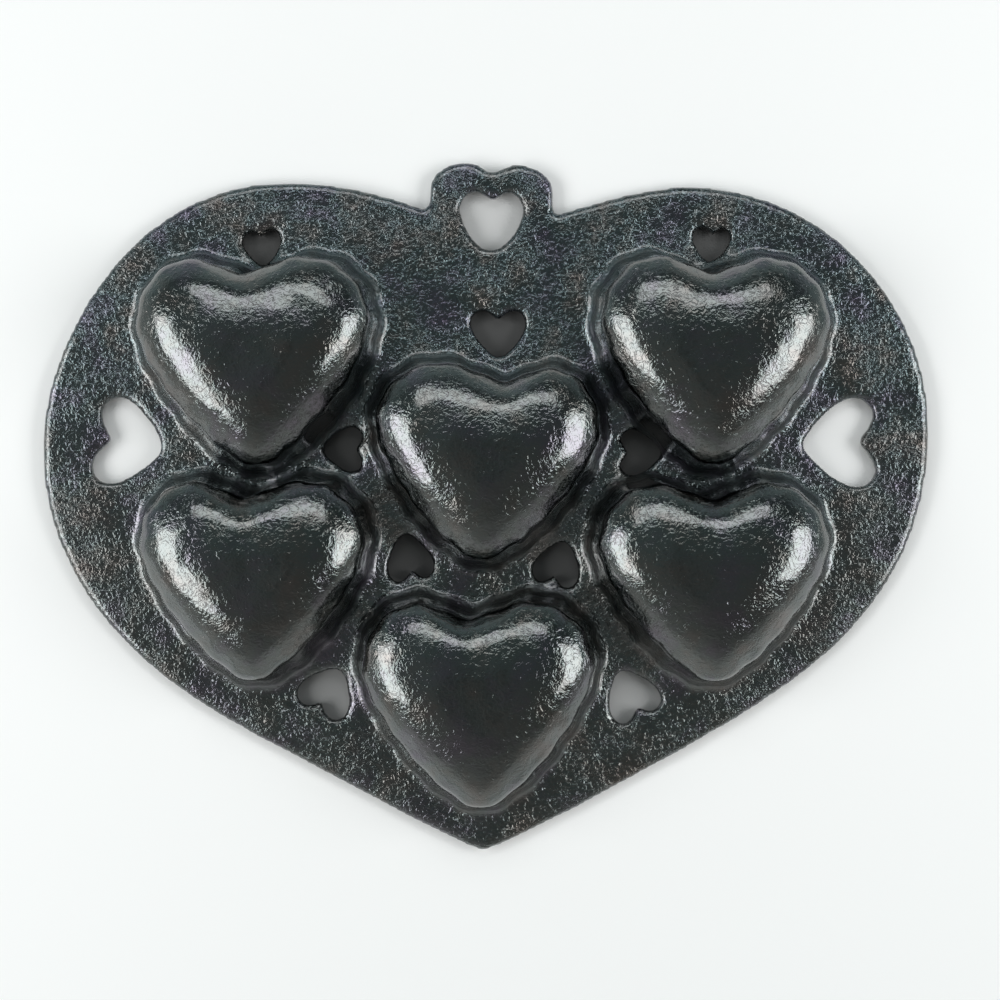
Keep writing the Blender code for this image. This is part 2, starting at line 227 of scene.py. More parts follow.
colour_left = 1.0
for row, (x, y, half_width, half_length, least) in enumerate(SHADES.values()):
    height = -250 * row
    away = oval_distance(sheet, on_sheet, (-1300, height), half_width, half_length, x, y)
    share = fade(sheet, away, (-900, height), SHADE_EDGE, 1.0, least)
    colour_left = maths(sheet, "MULTIPLY", (-700, height), share, colour_left)
shaded = add_node(sheet, "ShaderNodeVectorMath", (-400, 0))
shaded.operation = "SCALE"
shaded.inputs[0].default_value = PAPER_COLOUR
sheet.links.new(colour_left, shaded.inputs["Scale"])
sheet.links.new(shaded.outputs["Vector"], matt.inputs["Base Color"])
print("Ovals of shade on the paper:", len(SHADES))

# %% [markdown]
# Far from the mould the lamps light the paper less, and a low view would have a dark horizon. So
# there the camera, and only the camera, sees the paper about as pale as it is near the mould.

# %% Pale far paper
PALE_COLOUR = (0.9, 0.91, 0.905)
PALE_FROM = 0.25
PALE_TO = 0.9

away = oval_distance(sheet, on_sheet, (-1300, 300), 1.0, 1.0)
far_off = fade(sheet, away, (-900, 300), PALE_FROM, PALE_TO)
looked_at = add_node(sheet, "ShaderNodeLightPath", (-900, 700)).outputs["Is Camera Ray"]
pale = add_node(sheet, "ShaderNodeEmission", (0, 300), Color=(*PALE_COLOUR, 1))
blend = add_node(sheet, "ShaderNodeMixShader", (300, 300))
sheet.links.new(maths(sheet, "MULTIPLY", (-600, 400), far_off, looked_at), blend.inputs["Fac"])
sheet.links.new(matt.outputs["BSDF"], blend.inputs[1])
sheet.links.new(pale.outputs["Emission"], blend.inputs[2])
sheet.links.new(blend.outputs["Shader"], sheet.nodes["Material Output"].inputs["Surface"])
print("The paper fades to its pale colour from", PALE_FROM, "to", PALE_TO, "m")

# %% [markdown]
# The crowns and the plate face straight up, so they mirror whatever is overhead. In the
# photograph they are darkest along the middle, a little lighter towards the left, and bluer
# towards the far edge. The world has those three as functions of the direction. Its sides are
# lighter and show as bands round the domes, the near side most. The camera itself sees plain white.

# %% Surroundings
WALL_GREYS = [(0.0, 0.55), (0.25, 0.43), (0.45, 0.14), (0.86, 0.21), (1.0, 0.21)]
DIM_HALF_WIDTH = 1 / 11
DIM_HALF_LENGTH = 1 / 4
DIM_EDGE = (0.3, 1.3)
DIM_SHARE = 0.62
OVERHEAD = 0.3
LEFT_GAIN = 0.035
NEAR_SIDE = (-0.42, -0.85)
NEAR_GAIN = 0.25
NEAR_COLOUR = (1.0, 1.0, 0.97)
FAR_COLOUR = (0.8, 0.98, 1.0)
BACKDROP = 0.9

world = bpy.data.worlds.new("studio")
bpy.context.scene.world = world
world.use_nodes = True
studio = world.node_tree
sky = studio.nodes["Background"]
way = add_node(studio, "ShaderNodeTexCoord", (-1600, 0)).outputs["Generated"]
part = add_node(studio, "ShaderNodeSeparateXYZ", (-1400, 0))
studio.links.new(way, part.inputs["Vector"])

walls = ramp(studio, part.outputs["Z"], (-1100, 300), WALL_GREYS)
from_middle = oval_distance(studio, way, (-1400, -300), DIM_HALF_WIDTH, DIM_HALF_LENGTH)
dim_middle = fade(studio, from_middle, (-1000, -300), *DIM_EDGE, DIM_SHARE)
room = maths(studio, "MULTIPLY", (-800, 300), walls, dim_middle)
across = part.outputs["X"]
lighter_left = fade(studio, across, (-1000, 0), -OVERHEAD, OVERHEAD, LEFT_GAIN, -LEFT_GAIN)
room = maths(studio, "ADD", (-600, 300), room, lighter_left)
near_wall = fade(studio, part.outputs["Y"], (-1000, -600), *NEAR_SIDE, 0.0, NEAR_GAIN)
room = maths(studio, "ADD", (-400, 300), room, near_wall)
to_far = fade(studio, part.outputs["Y"], (-1000, -900), -OVERHEAD, OVERHEAD)
light_colour = ramp(studio, to_far, (-700, -600), [(0.0, NEAR_COLOUR), (1.0, FAR_COLOUR)])

looked_at = add_node(studio, "ShaderNodeLightPath", (-600, 700)).outputs["Is Camera Ray"]
strength = add_node(studio, "ShaderNodeMix", (-200, 300), B=BACKDROP)
studio.links.new(looked_at, strength.inputs["Factor"])
studio.links.new(room, strength.inputs["A"])
studio.links.new(strength.outputs["Result"], sky.inputs["Strength"])
colour = mix_colours(studio, looked_at, (-200, -300), light_colour, (1.0, 1.0, 1.0))
studio.links.new(colour, sky.inputs["Color"])
print("Greys up the walls:", WALL_GREYS)

# %% [markdown]
# Every outline on this mould is a heart, so one helper draws them all as a closed Bezier curve
# of six points: the notch, two lobes, two shoulders and the tip. A curve keeps its sweep with few
# points, and it becomes a mesh only when the shape is right. How far a handle pulls is a share of
# the distance to the next point, and 0.55 makes it a round quarter.

# %% A heart as a curve
ROUND_PULL = 0.55
NOTCH_SIDE_PULL = 0.42
TIP_SIDE_PULL = 0.33
NOTCH_LIFT = 0.1


def step(x, y):
    """A place or a step in the drawing's plane."""
    return Vector((x, y))


def flipped(vector):
    """The vector on the other side of the Y axis."""
    return Vector((-vector.x, vector.y))


def other_side(points):
    """The points mirrored, in reverse, so that an outline runs on through them."""
    return [(flipped(p), flipped(b), flipped(a)) for p, a, b in reversed(points)]


def half_heart(width, length, lobe_share, shoulder_share, shift):
    """Curve points of a heart's right lobe and right shoulder, with its notch at shift."""
    side = width / 2
    top = length / 2
    lobe = lobe_share * width + shift / 2
    shoulder_y = top - shoulder_share * length
    return [
        (
            step(lobe, top),
            step(-NOTCH_SIDE_PULL * (lobe - shift), 0),
            step(ROUND_PULL * (side - lobe), 0),
        ),
        (
            step(side, shoulder_y),
            step(0, ROUND_PULL * (top - shoulder_y)),
            step(0, -TIP_SIDE_PULL * (shoulder_y + top)),
        ),
    ]


def heart_points(width, length, notch, lobe_share, shoulder_share, tip_share, notch_share, shift=0):
    """Curve points of a heart that points to -Y: each is (point, step back, step on).

    The notch lies at shift beside the middle, and each lobe follows it by half.
    """
    top = length / 2
    right = half_heart(width, length, lobe_share, shoulder_share, shift)
    left = other_side(half_heart(width, length, lobe_share, shoulder_share, -shift))
    tip = (step(0, -top), step(tip_share * width, 0), step(-tip_share * width, 0))
    middle = (
        step(shift, top - notch),
        step(notch_share * (left[-1][0].x - shift), NOTCH_LIFT * notch),
        step(notch_share * (right[0][0].x - shift), NOTCH_LIFT * notch),
    )
    return [middle, *right, tip, *left]


sample = heart_points(70 * MM, 60 * MM, 5 * MM, 0.24, 0.31, 0.2, 0.32)
print("A heart's curve points in mm:", [tuple(round(v / MM) for v in p) for p, _, _ in sample])

# %% [markdown]
# A drawn outline is a curve with free handles. It is made a mesh at once, and only then turned and
# placed, so that the cups can share one pattern.

# %% Drawing an outline
def pick(*things):
    """Selects these objects alone, and makes the first one active."""
    bpy.ops.object.select_all(action="DESELECT")
    for thing in things:
        thing.select_set(True)
    bpy.context.view_layer.objects.active = things[0]


def draw_outline(name, points, height, turn, place, smoothness):
    """Draws a closed curve through the points, makes it a mesh, then turns and places it."""
    curve = bpy.data.curves.new(name, "CURVE")
    curve.dimensions = "3D"
    spline = curve.splines.new("BEZIER")
    spline.bezier_points.add(len(points) - 1)
    spline.use_cyclic_u = True
    spline.resolution_u = smoothness
    for knot, (p, back, on) in zip(spline.bezier_points, points):
        knot.handle_left_type = "FREE"
        knot.handle_right_type = "FREE"
        knot.co = (*p, 0)
        knot.handle_left = (*(p + back), 0)
        knot.handle_right = (*(p + on), 0)
    outline = bpy.data.objects.new(name, curve)
    bpy.context.scene.collection.objects.link(outline)
    pick(outline)
    bpy.ops.object.convert(target="MESH")
    outline = bpy.context.object
    outline.data.transform(Matrix.Rotation(turn, 4, "Z"))
    outline.data.transform(Matrix.Translation((place[0], place[1], height)))
    return outline


# %% [markdown]
# The plate's outline is one long curve: over the right lobe, down the right side to the tip, up
# the left side, and round the hanging eye. The pattern was cut by hand, so the two flanks differ a
# little, and each has values of its own.

# %% The plate's outline
RIGHT_FLANK = {
    "lobe": (63.8 * MM, 101.7 * MM),
    "widest": (140.3 * MM, 24.6 * MM),
    "side": (85.1 * MM, -63.0 * MM),
    "slope": math.radians(34.3),
    "pulls": (0.25, 0.56, 0.53, 0.61, 0.34),
}
LEFT_FLANK = {
    "lobe": (63.3 * MM, 102.4 * MM),
    "widest": (140.3 * MM, 18.3 * MM),
    "side": (67.3 * MM, -75.3 * MM),
    "slope": math.radians(26.9),
    "pulls": (0.38, 0.66, 0.37, 0.58, 0.37),
}
TIP_Y = -108.7 * MM
TIP_ROUND = 5.0 * MM
SIDE_PULL = 0.33
EYE_SHIFT = 1.2 * MM
EYE_LEAN = math.radians(-2.0)
EYE_WIDTH = 39.4 * MM
EYE_TOP_Y = 108.7 * MM
EYE_NOTCH = 2.5 * MM
EYE_NOTCH_PULL = 0.08
EYE_RISE = 15.7 * MM
EYE_LOBE_SHARE = 0.21
EYE_LOBE_PULL = 0.5
EYE_WIDEST_SHARE = 0.58
EYE_WIDEST_PULLS = (0.34, 0.2)
EYE_ROOT_PULL = 0.1
EYE_ROOT_FLARE = (0.08, 0.02)


def flank_points(flank):
    """Curve points of one flank, as for the right side."""
    lobe = Vector(flank["lobe"])
    widest = Vector(flank["widest"])
    side = Vector(flank["side"])
    slope = step(math.cos(flank["slope"]), math.sin(flank["slope"]))
    lobe_in, lobe_out, widest_in, widest_out, side_in = flank["pulls"]
    run = widest.x - side.x
    return [
        (lobe, step(-lobe_in * lobe.x, 0), step(lobe_out * (widest.x - lobe.x), 0)),
        (
            widest,
            step(0, widest_in * (lobe.y - widest.y)),
            step(0, -widest_out * (widest.y - side.y)),
        ),
        (side, side_in * run * slope, -SIDE_PULL * run * slope),
    ]


def eye_points():
    """Curve points round the hanging eye, from its left root to its right root."""
    side = EYE_WIDTH / 2
    lobe = EYE_LOBE_SHARE * EYE_WIDTH
    root = step(0, EYE_TOP_Y - EYE_RISE)
    widest_in, widest_out = EYE_WIDEST_PULLS
    flare_x, flare_y = EYE_ROOT_FLARE
    right = [
        (
            step(lobe, EYE_TOP_Y),
            step(-EYE_LOBE_PULL * lobe, 0),
            step(ROUND_PULL * (side - lobe), 0),
        ),
        (
            step(side, EYE_TOP_Y - EYE_WIDEST_SHARE * EYE_RISE),
            step(0, widest_in * EYE_RISE),
            step(0, -widest_out * EYE_RISE),
        ),
        (
            root + step(side, 0),
            step(0, EYE_ROOT_PULL * EYE_RISE),
            step(flare_x * side, flare_y * side),
        ),
    ]
    into_notch = step(EYE_NOTCH_PULL * EYE_WIDTH, NOTCH_LIFT * EYE_NOTCH)
    notch = (step(0, EYE_TOP_Y - EYE_NOTCH), flipped(into_notch), into_notch)
    turn = Matrix.Rotation(EYE_LEAN, 2)
    return [
        (turn @ (p - root) + root + step(EYE_SHIFT, 0), turn @ a, turn @ b)
        for p, a, b in [*other_side(right), notch, *right]
    ]


def plate_points():
    """Curve points of the whole plate, eye included."""
    tip = (step(0, TIP_Y), step(TIP_ROUND, 0), step(-TIP_ROUND, 0))
    return [*eye_points(), *flank_points(RIGHT_FLANK), tip, *other_side(flank_points(LEFT_FLANK))]


print("Curve points round the plate:", len(plate_points()))

# %% [markdown]
# The outline becomes a plate in edit mode: fill it, extrude the face up by the iron's thickness,
# and bevel the two rims, because sand moulds leave no sharp edge.

# %% The plate
PLATE_EDGE_ROUND = 1.4 * MM
PLATE_EDGE_STEPS = 4
PLATE_SMOOTHNESS = 14
SAME_PLACE = 0.01 * MM


def raise_outline(outline, thickness):
    """Fills a flat outline and extrudes it up."""
    pick(outline)
    bpy.ops.object.mode_set(mode="EDIT")
    bpy.ops.mesh.select_all(action="SELECT")
    bpy.ops.mesh.remove_doubles(threshold=SAME_PLACE)
    bpy.ops.mesh.edge_face_add()
    bpy.ops.mesh.extrude_region_move(TRANSFORM_OT_translate={"value": (0, 0, thickness)})
    bpy.ops.mesh.select_all(action="SELECT")
    bpy.ops.mesh.normals_make_consistent(inside=False)
    bpy.ops.object.mode_set(mode="OBJECT")
    return outline


def select_rims(thing):
    """Selects the level edges round the faces at the top and the bottom."""
    pick(thing)
    bpy.ops.object.mode_set(mode="EDIT")
    bpy.ops.mesh.select_mode(type="EDGE")
    bpy.ops.mesh.select_all(action="DESELECT")
    bpy.ops.object.mode_set(mode="OBJECT")
    for edge in thing.data.edges:
        start, end = (thing.data.vertices[i].co.z for i in edge.vertices)
        edge.select = abs(start - end) < SAME_PLACE
    bpy.ops.object.mode_set(mode="EDIT")


outline = draw_outline("cast_mould", plate_points(), 0, 0, (0, 0), PLATE_SMOOTHNESS)
plate = raise_outline(outline, PLATE_THICKNESS)
select_rims(plate)
bpy.ops.mesh.bevel(
    offset=PLATE_EDGE_ROUND, segments=PLATE_EDGE_STEPS, affect="EDGES", clamp_overlap=False
)
bpy.ops.object.mode_set(mode="OBJECT")
print("Plate in mm:", [round(v / MM, 1) for v in plate.dimensions])

# %% [markdown]
# Six cups stand up from the plate's back, each a deep heart for one small cake. A cup could be a
# squashed ball, but its section is what catches the light: a fillet at the foot, a steep wall with
# a little draft, so that the pattern lifts from the sand, a tight corner, and a dome on top. The
# dome's shoulder is an arc and its crown a much flatter one, which is why the photograph's bright
# strips are narrow and the crown between them is large. So the section is a list of steps, each
# an inset from the heart at the foot and a height.

# %% The cup's section
CUP_HEIGHT = 25.6 * MM
CUP_WALL = 3.6 * MM
CUP_FILLET = 2.8 * MM
CUP_DRAFT = 2.0 * MM
WALL_LEAN = math.radians(8)
CORNER_ROUND = 2.0 * MM
DOME_TILT = math.radians(45)
SHOULDER_RADIUS = 26.0 * MM
CROWN_TILT = math.radians(15)
DOME_MIDDLE = 31.5 * MM
MOUTH_ROUND = 1.2 * MM
MOUTH_REACH = 2 * MM

# Where the section has its steps, in degrees round a fillet or of lean from level.
FILLET_TURNS = (0, 18, 36, 54, 72, 90)
CORNER_TILTS = (82, 70, 57)
DOME_TILTS = (45, 41, 37, 33, 29, 25, 21, 17, 13.5, 10.5, 8, 6)
MOUTH_TURNS = (30, 60, 90)
HOLLOW_TILTS = (43.5, 35, 26, 17, 11, 7)

corner_run = CORNER_ROUND * (math.cos(WALL_LEAN) - math.sin(DOME_TILT))
shoulder_run = SHOULDER_RADIUS * (math.sin(DOME_TILT) - math.sin(CROWN_TILT))
crown_radius = (DOME_MIDDLE - CUP_DRAFT - corner_run - shoulder_run) / math.sin(CROWN_TILT)


def dome_step(degrees, depth=0):
    """A point so deep under the dome's skin, where it leans so many degrees from level."""
    tilt = math.radians(degrees)
    inset = DOME_MIDDLE - (crown_radius - depth) * math.sin(tilt)
    height = CUP_HEIGHT - crown_radius + (crown_radius - depth) * math.cos(tilt)
    if tilt > CROWN_TILT:
        inset += (crown_radius - SHOULDER_RADIUS) * (math.sin(tilt) - math.sin(CROWN_TILT))
        height += (crown_radius - SHOULDER_RADIUS) * (math.cos(CROWN_TILT) - math.cos(tilt))
    return (inset, height)


corner_rise = CORNER_ROUND * (math.cos(DOME_TILT) - math.sin(WALL_LEAN))
wall_top = dome_step(math.degrees(DOME_TILT))[1] - corner_rise


def outer_section():
    """The outside of a cup, as (inset, height above the plate's back)."""
    steps = [(-CUP_FILLET, -PLATE_THICKNESS / 2)]
    for turn in FILLET_TURNS:
        angle = math.radians(turn)
        steps.append((CUP_FILLET * (math.sin(angle) - 1), CUP_FILLET * (1 - math.cos(angle))))
    half_up_wall = (0.5 * CUP_DRAFT, 0.5 * (CUP_FILLET + wall_top))
    steps.append(half_up_wall)
    for tilt in CORNER_TILTS:
        angle = math.radians(tilt)
        steps.append((
            CUP_DRAFT + CORNER_ROUND * (math.cos(WALL_LEAN) - math.sin(angle)),
            wall_top + CORNER_ROUND * (math.cos(angle) - math.sin(WALL_LEAN)),
        ))
    return steps + [dome_step(tilt) for tilt in DOME_TILTS]


def inner_section():
    """The hollow of a cup, one wall within the outside and open through the rim face."""
    inset = CUP_WALL - MOUTH_ROUND
    steps = [(inset, -PLATE_THICKNESS - MOUTH_REACH), (inset, -PLATE_THICKNESS)]
    for turn in MOUTH_TURNS:
        angle = math.radians(turn)
        steps.append((
            CUP_WALL - MOUTH_ROUND * (1 - math.sin(angle)),
            -PLATE_THICKNESS + MOUTH_ROUND * (1 - math.cos(angle)),
        ))
    return steps + [dome_step(tilt, CUP_WALL) for tilt in HOLLOW_TILTS]


print("Wall top and crown radius in mm:", round(wall_top / MM, 2), round(crown_radius / MM, 1))
print("Rings outside and inside a cup:", len(outer_section()), len(inner_section()))

# %% [markdown]
# The wall of each cup is scalloped like a tart tin's. The scallops are a wave along the heart,
# ten on each side of it: full at the plate, half at the corner, gone a little way up the dome.
# Each ring of the section is drawn as a heart of its own inset and rippled by its height. The
# notch gets shallower and the tip sharper from the foot to the dome, and the notch moves a little
# to one side.

# %% A ring of a cup
SCALLOPS_A_SIDE = 10
SCALLOP_DEPTH = 1.4 * MM
SCALLOP_FADE = 4.0 * MM
SCALLOP_LOSS = 0.45
WAVE_SOFTNESS = 0.02
WAVE_MIDDLE = 0.6
CUP_NOTCH = 5.3 * MM
CROWN_NOTCH = 1.0 * MM
NOTCH_FADE = 16.0 * MM
LOBE_SHARE = 0.24
SHOULDER_SHARE = 0.31
FOOT_TIP = 0.2
DOME_TIP = 0.09
TIP_FADE = 3.0 * MM
NOTCH_SHARE = 0.32
RING_SMOOTHNESS = 24


def clipped(share):
    """A share, kept between nothing and all."""
    return min(max(share, 0), 1)


def between(start, end, share):
    """The value that lies that share of the way from start to end."""
    return start + clipped(share) * (end - start)


def ripple(ring, depth):
    """Pushes a ring's points in and out in round scallops, the same number on each side."""
    places = [v.co.copy() for v in ring.data.vertices]
    count = len(places)
    half = count // 2
    lengths = [(places[(i + 1) % count] - places[i]).length for i in range(count)]
    along = 0
    for i, vertex in enumerate(ring.data.vertices):
        course = places[(i + 1) % count] - places[i - 1]
        outward = Vector((-course.y, course.x, 0)).normalized()
        side = sum(lengths[:half]) if i < half else sum(lengths[half:])
        swing = math.sin(math.pi * SCALLOPS_A_SIDE * along)
        wave = math.sqrt(swing ** 2 + WAVE_SOFTNESS) - WAVE_MIDDLE
        vertex.co = places[i] + depth * wave * outward
        along += lengths[i] / side


def cup_ring(width, length, shifts, inset, height, turn, place):
    """One heart-shaped ring of a cup, at its own inset and height."""
    up_wall = clipped(height / wall_top)
    up_dome = clipped((height - wall_top) / SCALLOP_FADE)
    points = heart_points(
        width - 2 * inset, length - 2 * inset, between(CUP_NOTCH, CROWN_NOTCH, inset / NOTCH_FADE),
        LOBE_SHARE, SHOULDER_SHARE, between(FOOT_TIP, DOME_TIP, inset / TIP_FADE), NOTCH_SHARE,
        between(*shifts, up_wall) * (1 - clipped(inset / DOME_MIDDLE)),
    )
    ring = draw_outline("ring", points, PLATE_THICKNESS + height, turn, place, RING_SMOOTHNESS)
    ripple(ring, SCALLOP_DEPTH * (1 - SCALLOP_LOSS * up_wall) * (1 - up_dome))
    return ring


# %% [markdown]
# The rings of a section are joined and bridged, each to the next, into one skin that is closed at
# both ends.

# %% Bridging the rings
def bridge_rings(name, rings):
    """Joins rings and bridges each to the next, then closes both ends."""
    pick(*rings)
    bpy.ops.object.join()
    skin = bpy.context.object
    skin.name = name
    bpy.ops.object.mode_set(mode="EDIT")
    bpy.ops.mesh.select_mode(type="EDGE")
    bpy.ops.mesh.select_all(action="SELECT")
    bpy.ops.mesh.bridge_edge_loops(type="SINGLE", use_merge=False)
    bpy.ops.mesh.select_all(action="DESELECT")
    bpy.ops.mesh.select_non_manifold()
    bpy.ops.mesh.edge_face_add()
    bpy.ops.mesh.select_all(action="SELECT")
    bpy.ops.mesh.normals_make_consistent(inside=False)
    bpy.ops.object.mode_set(mode="OBJECT")
    return skin


def cup_skin(name, section, width, length, shifts, turn, place):
    """The closed skin of a cup or of its hollow."""
    rings = [cup_ring(width, length, shifts, *step_of, turn, place) for step_of in section]
    return bridge_rings(name, rings)


# %% [markdown]
# The six hearts are of one pattern but not exactly alike: each has its own place, width and
# length, a turn of a degree or two, and a notch that lies beside the middle, by one distance at
# the foot and by another on the dome. Bodies and hollows are made in pairs.

# %% Six cups
# Each: x, y, width, length, turn in degrees, and the notch's shift at the foot and on the dome.
CUPS = {
    "upper_left": (-71.3 * MM, 44.2 * MM, 76.0 * MM, 68.4 * MM, 1.5, 0.0 * MM, -3.2 * MM),
    "upper_right": (70.5 * MM, 45.2 * MM, 74.2 * MM, 68.4 * MM, -0.5, -4.0 * MM, -1.2 * MM),
    "centre": (0.0 * MM, 13.5 * MM, 73.4 * MM, 64.8 * MM, -2.5, 4.9 * MM, 4.9 * MM),
    "lower_left": (-71.4 * MM, -23.3 * MM, 73.2 * MM, 66.0 * MM, 0.5, -0.6 * MM, -2.8 * MM),
    "lower_right": (70.4 * MM, -22.9 * MM, 75.0 * MM, 65.6 * MM, 1.0, -2.6 * MM, 0.3 * MM),
    "bottom": (-1.5 * MM, -61.0 * MM, 75.6 * MM, 68.0 * MM, 1.2, -1.4 * MM, -3.4 * MM),
}
bodies = []
hollows = []
for name, (x, y, width, length, turn, *shifts) in CUPS.items():
    spot = (width, length, shifts, math.radians(turn), (x, y))
    bodies.append(cup_skin("body_" + name, outer_section(), *spot))
    hollows.append(cup_skin("hollow_" + name, inner_section(), *spot))
print("One cup's body has", len(bodies[0].data.polygons), "faces")

# %% [markdown]
# Small hearts are cut through the plate between the cups, and a larger one through the hanging
# eye. Each is an outline like the plate's, raised into a cutter that is longer than the iron is
# thick.

# %% Cut-outs
# Each: x, y, width, length, and the way that its tip points, in degrees from +X.
CUTOUTS = {
    "left": (-112.5 * MM, 19.5 * MM, 27.1 * MM, 20.3 * MM, -10.5),
    "right": (111.5 * MM, 20.7 * MM, 27.8 * MM, 22.0 * MM, 183.0),
    "top_left": (-70.9 * MM, 81.4 * MM, 11.5 * MM, 10.7 * MM, -85.0),
    "top_right": (70.8 * MM, 83.2 * MM, 11.6 * MM, 10.4 * MM, -95.0),
    "top_middle": (3.8 * MM, 54.6 * MM, 16.7 * MM, 14.3 * MM, -90.0),
    "low_left": (-49.3 * MM, -58.2 * MM, 16.6 * MM, 14.7 * MM, 61.0),
    "low_right": (46.1 * MM, -58.8 * MM, 16.3 * MM, 15.6 * MM, 116.0),
    "inner_left": (-45.1 * MM, 17.9 * MM, 13.5 * MM, 11.9 * MM, 180.0),
    "inner_right": (49.1 * MM, 17.4 * MM, 13.9 * MM, 12.3 * MM, 0.0),
    "inner_low_left": (-24.0 * MM, -15.9 * MM, 14.0 * MM, 14.4 * MM, 101.0),
    "inner_low_right": (23.2 * MM, -17.5 * MM, 14.0 * MM, 14.0 * MM, 74.0),
}
CUTOUT_NOTCH = 0.22
CUTOUT_SHAPE = (0.31, 0.27, 0.1, 0.2)
CUTOUT_SMOOTHNESS = 10
EYE_HOLE_PLACE = (1.4 * MM, 90.2 * MM)
EYE_HOLE_WIDTH = 19.4 * MM
EYE_HOLE_LENGTH = 17.8 * MM
EYE_HOLE_NOTCH = 2.4 * MM
EYE_HOLE_SHAPE = (0.27, 0.3, 0.24, 0.3)
EYE_HOLE_SMOOTHNESS = 12
CUTTER_REACH = 2.0 * MM


def cutter(name, points, turn, place, smoothness):
    """An outline, raised from below the plate to above it and added to the hollows."""
    outline = draw_outline(name, points, -CUTTER_REACH, turn, place, smoothness)
    hollows.append(raise_outline(outline, PLATE_THICKNESS + CUP_FILLET + 2 * CUTTER_REACH))


for name, (x, y, width, length, pointing) in CUTOUTS.items():
    points = heart_points(width, length, CUTOUT_NOTCH * length, *CUTOUT_SHAPE)
    cutter("cutout_" + name, points, math.radians(pointing + 90), (x, y), CUTOUT_SMOOTHNESS)
points = heart_points(EYE_HOLE_WIDTH, EYE_HOLE_LENGTH, EYE_HOLE_NOTCH, *EYE_HOLE_SHAPE)
cutter("eye_hole", points, EYE_LEAN, EYE_HOLE_PLACE, EYE_HOLE_SMOOTHNESS)
print("Hollows to cut:", len(hollows))

# %% [markdown]
# The cups are joined to the plate and the hollows cut out with Boolean modifiers, which are then
# applied. Each Boolean takes a whole collection, so there are only two.

# %% Join and cut
def apply_modifier(thing, kind, **settings):
    """Adds a modifier with these settings and applies it."""
    modifier = thing.modifiers.new(kind.lower(), kind)
    for name, value in settings.items():
        setattr(modifier, name, value)
    pick(thing)
    bpy.ops.object.modifier_apply(modifier=modifier.name)


def boolean(thing, operation, others):
    """Joins or cuts thing with all the others, then removes them."""
    group = bpy.data.collections.new(operation.lower())
    for other in others:
        group.objects.link(other)
    apply_modifier(
        thing, "BOOLEAN", operation=operation, operand_type="COLLECTION", collection=group,
        solver="EXACT",
    )
    for other in others:
        bpy.data.objects.remove(other)
    bpy.data.collections.remove(group)


boolean(plate, "UNION", bodies)
boolean(plate, "DIFFERENCE", hollows)
print("After the Booleans:", len(plate.data.polygons), "faces")

# %% [markdown]
# Cast iron has no crisp line anywhere: every corner ran a little soft in the sand. A voxel remesh
# gives the whole skin even, small faces, a short smoothing melts the corners, and a displacement
# of up to half a millimetre, inwards only, gives the slow unevenness of a hand-rammed mould. The
# rim below stays flat.

# %% Soften into a casting
VOXEL = 1.35 * MM
SMOOTH_SHARE = 0.5
SMOOTH_PASSES = 3
SAND_PATCH = 9 * MM
SAND_DETAIL = 2
SAND_UNEVENNESS = 0.5 * MM
RIM_BAND = 1.5 * MM

apply_modifier(plate, "REMESH", mode="VOXEL", voxel_size=VOXEL, use_smooth_shade=True)
apply_modifier(plate, "SMOOTH", factor=SMOOTH_SHARE, iterations=SMOOTH_PASSES)
print("After the remesh:", len(plate.data.polygons), "faces")

rammed = bpy.data.textures.new("rammed_sand", "CLOUDS")
rammed.noise_scale = SAND_PATCH
rammed.noise_depth = SAND_DETAIL
above_rim = plate.vertex_groups.new(name="above_rim")
for vertex in plate.data.vertices:
    above_rim.add([vertex.index], min(vertex.co.z / RIM_BAND, 1), "REPLACE")
apply_modifier(
    plate, "DISPLACE", texture=rammed, texture_coords="LOCAL", strength=SAND_UNEVENNESS,
    mid_level=1.0, vertex_group="above_rim",
)

# %% [markdown]
# The skin is a relief of sand grains, pressed in while the iron was hot. In the strips of light it
# looks like crinkled foil: flat bits with sharp creases between them. Noise folded about its
# middle value gives just that. One node group makes it from a grain size, a curl and a depth, and
# the material places it three times: fine folds all over, and on the plate deeper grain and slow
# lumps, which break up the lamps' reflections along the feet of the cups.

# %% The sand's relief as a node group
def sand_relief():
    """A node group that puts out the height of a sand-cast skin."""
    group = bpy.data.node_groups.new("sand_relief", "ShaderNodeTree")
    group.interface.new_socket("Vector", in_out="INPUT", socket_type="NodeSocketVector")
    for name in ("Grains a Metre", "Curl", "Depth"):
        group.interface.new_socket(name, in_out="INPUT", socket_type="NodeSocketFloat")
    group.interface.new_socket("Height", in_out="OUTPUT", socket_type="NodeSocketFloat")
    given = add_node(group, "NodeGroupInput", (-700, 0))
    grains = add_node(group, "ShaderNodeTexNoise", (-400, 100), Detail=2.0, Roughness=0.5)
    group.links.new(given.outputs["Vector"], grains.inputs["Vector"])
    group.links.new(given.outputs["Grains a Metre"], grains.inputs["Scale"])
    group.links.new(given.outputs["Curl"], grains.inputs["Distortion"])
    off_middle = maths(group, "SUBTRACT", (-200, 0), grains.outputs["Fac"], 0.5)
    folded = maths(group, "ABSOLUTE", (0, 0), off_middle)
    height = maths(group, "MULTIPLY", (200, 0), folded, given.outputs["Depth"])
    result = add_node(group, "NodeGroupOutput", (400, 0))
    group.links.new(height, result.inputs["Height"])
    return group


relief = sand_relief()


def skin_of(tree, vector, place, grains, curl, depth):
    """The relief group in a material, with these values."""
    node = tree.nodes.new("ShaderNodeGroup")
    node.node_tree = relief
    node.location = place
    tree.links.new(vector, node.inputs["Vector"])
    node.inputs["Grains a Metre"].default_value = grains
    node.inputs["Curl"].default_value = curl
    node.inputs["Depth"].default_value = depth
    return node.outputs["Height"]


print("The relief takes:", [socket.name for socket in relief.interface.items_tree])

